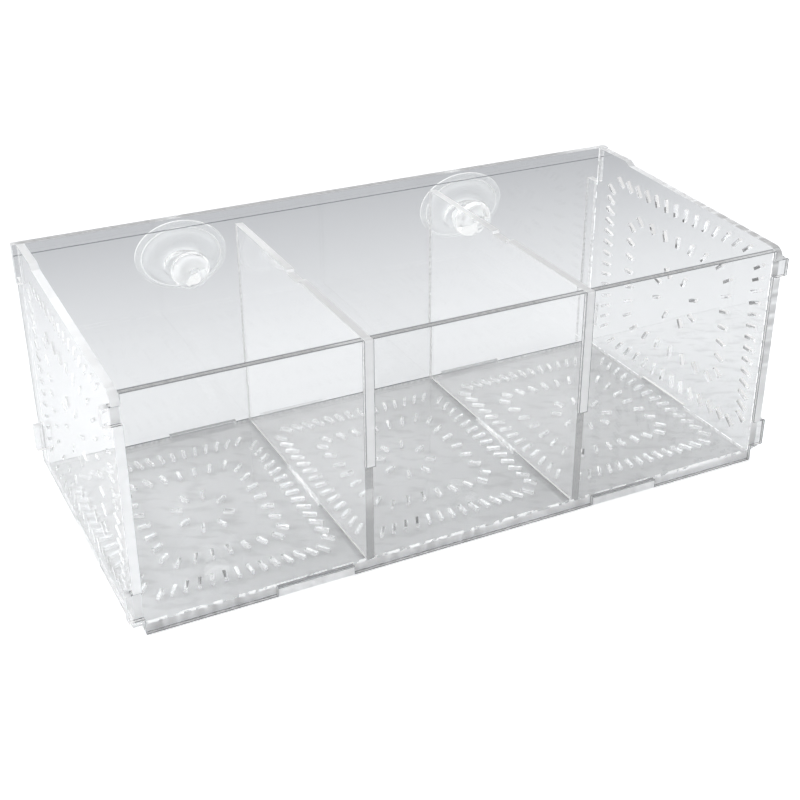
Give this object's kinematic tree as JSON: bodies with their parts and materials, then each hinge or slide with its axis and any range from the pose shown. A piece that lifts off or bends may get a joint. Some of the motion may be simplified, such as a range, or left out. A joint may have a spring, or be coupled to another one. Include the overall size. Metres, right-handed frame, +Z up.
{
  "type": "fish breeding box",
  "caption": "Clear open-topped aquarium breeding box of slotted sheets, with lift-out dividers making compartments and suction cups on its back panel.",
  "frame": {"origin": "underside of the box, midway between the end panels and midway between the front and back panels", "axes": "+X to the right along the box's length seen from the front, +Y from the front panel towards the back panel and the aquarium glass, +Z up"},
  "size_m": [0.2584, 0.137, 0.094],
  "materials": {
    "acrylic": "clear polished acrylic sheet",
    "soft_plastic": "clear glossy soft plastic"
  },
  "bodies": {
    "box": {"bottom_plate": "acrylic", "front_panel": "acrylic", "back_panel": "acrylic", "left_end_panel": "acrylic", "right_end_panel": "acrylic"},
    "left_divider": {"left_divider": "acrylic"},
    "right_divider": {"right_divider": "acrylic"},
    "left_cup": {"left_suction_cup": "soft_plastic"},
    "right_cup": {"right_suction_cup": "soft_plastic"}
  },
  "joints": [
    {"name": "left_divider_lift", "type": "slide", "parent": "box", "child": "left_divider", "axis": [0, 0, 1], "range_m": [0, 0.095]},
    {"name": "right_divider_lift", "type": "slide", "parent": "box", "child": "right_divider", "axis": [0, 0, 1], "range_m": [0, 0.095]},
    {"name": "left_cup_swivel", "type": "hinge", "parent": "box", "child": "left_cup", "pos_m": [-0.063, 0.06, 0.0732], "axis": [0, 1, 0], "continuous": true},
    {"name": "right_cup_swivel", "type": "hinge", "parent": "box", "child": "right_cup", "pos_m": [0.061, 0.06, 0.0732], "axis": [0, 1, 0], "continuous": true}
  ]
}
